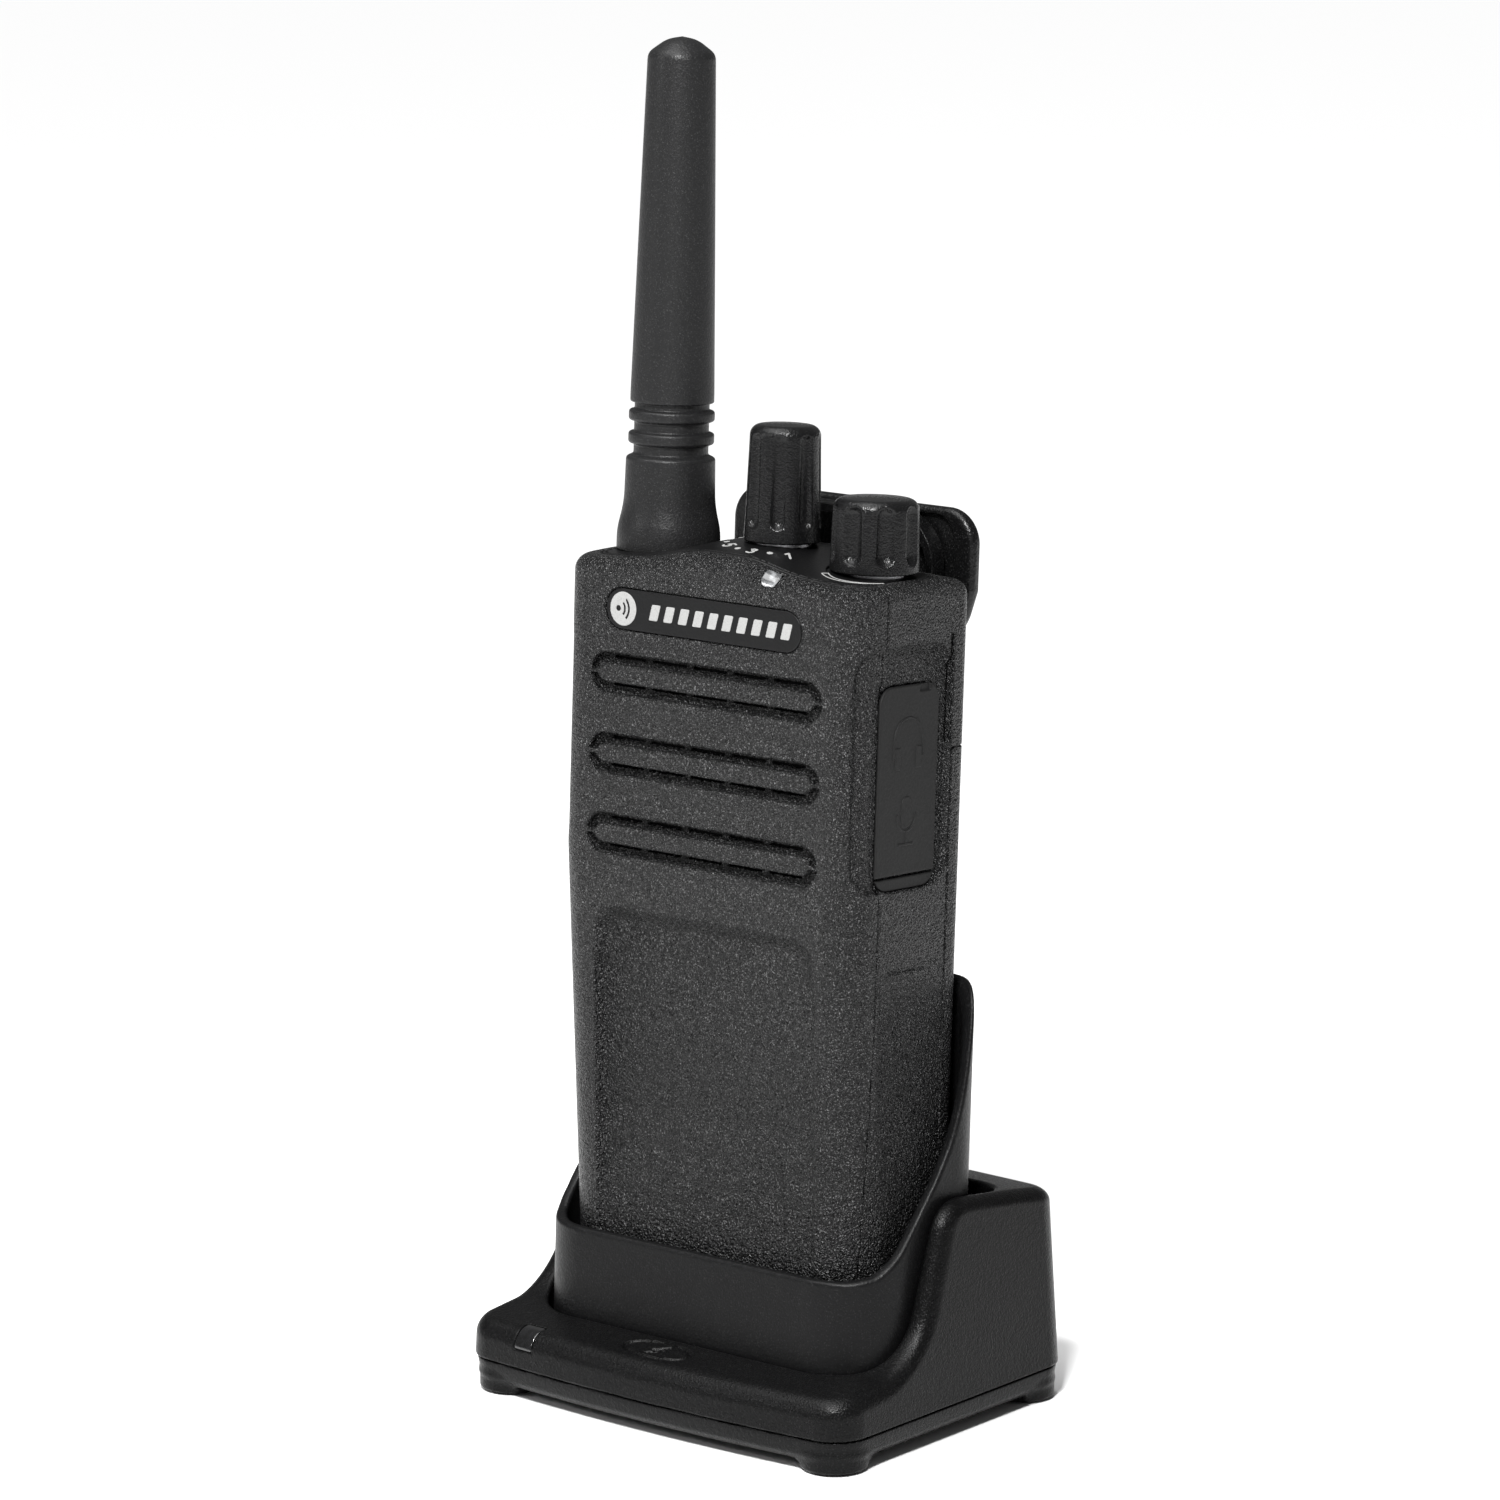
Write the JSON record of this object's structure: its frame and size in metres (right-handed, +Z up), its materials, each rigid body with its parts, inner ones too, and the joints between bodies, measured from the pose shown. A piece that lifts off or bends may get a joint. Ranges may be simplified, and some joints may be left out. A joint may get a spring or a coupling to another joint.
{
  "type": "portable two-way radio in charging cradle",
  "caption": "Compact handheld two-way radio with stub antenna, two top knobs and belt clip, standing in a drop-in desk charging cradle.",
  "frame": {"origin": "centre of the part's footprint box at table height, under the cradle", "axes": "+Z up along the antenna, +Y to the back of the cradle where the belt clip and the power inlet are, +X to the side with the accessory cover"},
  "size_m": [0.072, 0.056, 0.1961],
  "materials": {
    "housing_plastic": "fine spark-textured matte",
    "deck_plastic": "smooth satin",
    "knob_plastic": "fine-textured satin",
    "key_rubber": "matte",
    "antenna_rubber": "matte",
    "clip_plastic": "fine-textured satin",
    "cradle_plastic": "fine-textured matte",
    "insert_plastic": "smooth satin",
    "foot_rubber": "matte",
    "lens_clear": "polished, frosted within",
    "lens_smoke": "polished, dark tinted",
    "jack_plastic": "glossy",
    "board_green": "solder-mask satin",
    "speaker_black": "woven matte",
    "bright_metal": "fine brushed",
    "contact_gold": "plated, bright",
    "battery_wrap": "shrink-wrapped gloss"
  },
  "bodies": {
    "cradle": {"cradle_top_shell": "cradle_plastic", "cradle_bottom_shell": "cradle_plastic", "cradle_feet": "foot_rubber", "cradle_screws": "bright_metal", "cradle_circuit_board": "board_green", "cradle_dc_inlet": "jack_plastic", "cradle_status_lens": "lens_smoke", "cradle_contact_block": "insert_plastic", "charge_pin_springs": "bright_metal"},
    "charge_pin_l": {"charge_pin_left": "contact_gold"},
    "charge_pin_r": {"charge_pin_right": "contact_gold"},
    "insert": {"cradle_insert": "insert_plastic"},
    "radio": {"front_housing": "housing_plastic", "rear_housing": "housing_plastic", "top_deck_plate": "deck_plastic", "name_plate": "deck_plastic", "status_lens": "lens_clear", "speaker_mesh": "speaker_black", "speaker_frame": "bright_metal", "speaker_cone": "speaker_black", "microphone": "bright_metal", "main_circuit_board": "board_green", "rf_shield": "bright_metal", "housing_gasket": "key_rubber", "battery_pack": "battery_wrap", "battery_door": "housing_plastic", "battery_contacts": "contact_gold", "charging_contacts": "contact_gold", "housing_screws": "bright_metal", "channel_switch": "bright_metal", "volume_switch": "bright_metal", "antenna_sheath": "antenna_rubber", "antenna_coil": "contact_gold", "antenna_ferrule": "contact_gold", "side_button_board": "board_green", "button_switches": "jack_plastic", "cover_anchor": "housing_plastic", "earphone_jack": "jack_plastic", "microphone_jack": "jack_plastic", "belt_clip_bracket": "clip_plastic", "belt_clip_pin": "bright_metal", "belt_clip_spring": "bright_metal"},
    "channel_control": {"channel_shaft": "bright_metal", "channel_knob": "knob_plastic"},
    "volume_control": {"volume_shaft": "bright_metal", "volume_knob": "knob_plastic"},
    "ptt_key": {"ptt_button": "key_rubber"},
    "upper_key": {"side_button_upper": "key_rubber"},
    "lower_key": {"side_button_lower": "key_rubber"},
    "cover": {"accessory_cover": "housing_plastic"},
    "clip_arm": {"belt_clip_arm": "clip_plastic"},
    "latch": {"battery_latch": "clip_plastic"}
  },
  "joints": [
    {"name": "insert_lift", "type": "slide", "parent": "cradle", "child": "insert", "axis": [0, 0.0588, 0.9983], "range_m": [0, 0.03]},
    {"name": "radio_lift", "type": "slide", "parent": "insert", "child": "radio", "axis": [0, 0.0588, 0.9983], "range_m": [0, 0.085]},
    {"name": "channel_turn", "type": "hinge", "parent": "radio", "child": "channel_control", "pos_m": [0.0022, 0.00248, 0.1259], "axis": [0, -0.0588, -0.9983], "range_deg": [0, 140]},
    {"name": "volume_turn", "type": "hinge", "parent": "radio", "child": "volume_control", "pos_m": [0.0191, 0.00232, 0.1233], "axis": [0, -0.0588, -0.9983], "range_deg": [0, 300]},
    {"name": "ptt_press", "type": "slide", "parent": "radio", "child": "ptt_key", "axis": [1, 0, 0], "range_m": [0, 0.0006], "stiffness_N_per_m": 1500, "springref_m": -0.001},
    {"name": "side_button_upper_press", "type": "slide", "parent": "radio", "child": "upper_key", "axis": [1, 0, 0], "range_m": [0, 0.0006], "stiffness_N_per_m": 1500, "springref_m": -0.001},
    {"name": "side_button_lower_press", "type": "slide", "parent": "radio", "child": "lower_key", "axis": [1, 0, 0], "range_m": [0, 0.0006], "stiffness_N_per_m": 1500, "springref_m": -0.001},
    {"name": "accessory_cover_swing", "type": "hinge", "parent": "radio", "child": "cover", "pos_m": [0.02775, -0.00135, 0.08134], "axis": [0, 0.9983, -0.0588], "range_deg": [0, 100]},
    {"name": "belt_clip_squeeze", "type": "hinge", "parent": "radio", "child": "clip_arm", "pos_m": [0, 0.01755, 0.11128], "axis": [1, 0, 0], "range_deg": [0, 15], "stiffness_Nm_per_rad": 1, "springref_deg": -17.19},
    {"name": "battery_latch_slide", "type": "slide", "parent": "radio", "child": "latch", "axis": [0, 0.0588, 0.9983], "range_m": [0, 0.003]},
    {"name": "charge_pin_left_press", "type": "slide", "parent": "cradle", "child": "charge_pin_l", "axis": [0, -0.0588, -0.9983], "range_m": [0, 0.0008], "stiffness_N_per_m": 800, "springref_m": -0.001, "deforming": ["charge_pin_springs"]},
    {"name": "charge_pin_right_press", "type": "slide", "parent": "cradle", "child": "charge_pin_r", "axis": [0, -0.0588, -0.9983], "range_m": [0, 0.0008], "stiffness_N_per_m": 800, "springref_m": -0.001}
  ]
}
